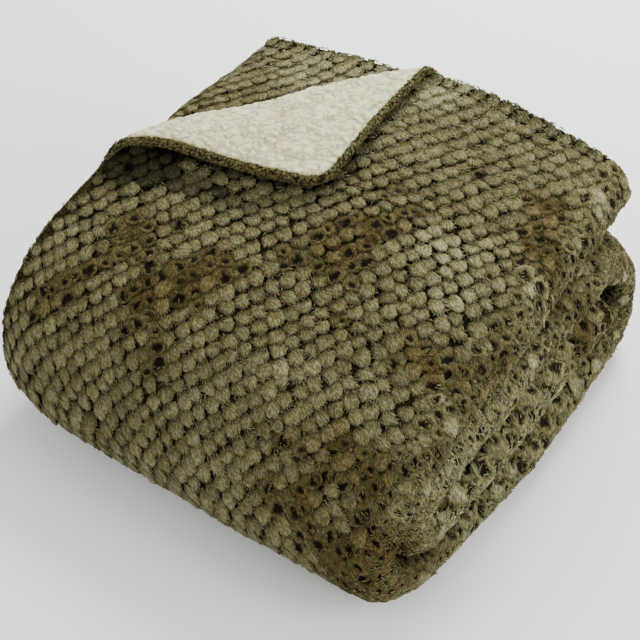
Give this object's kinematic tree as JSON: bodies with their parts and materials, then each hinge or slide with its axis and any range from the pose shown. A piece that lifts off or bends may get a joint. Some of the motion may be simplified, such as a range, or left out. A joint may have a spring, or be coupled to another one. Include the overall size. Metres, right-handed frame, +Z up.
{
  "type": "sherpa flannel throw",
  "caption": "Double-faced throw folded into a thick square bundle, popcorn-knit plush outside and curly fleece inside, with one corner of the top layer turned back.",
  "frame": {"origin": "middle of the folded bundle's plan, at its flat underside", "axes": "+Z up; +X towards the side of stacked folds; -Y towards the side of the big round fold; the turned-back corner lies towards -X and +Y"},
  "size_m": [0.3846, 0.3868, 0.1753],
  "materials": {
    "flannel_face": "olive popcorn-knit plush",
    "sherpa_backing": "off-white curly fleece"
  },
  "bodies": {
    "root": {"face_panel": "flannel_face", "backing_panel": "sherpa_backing"}
  },
  "joints": []
}
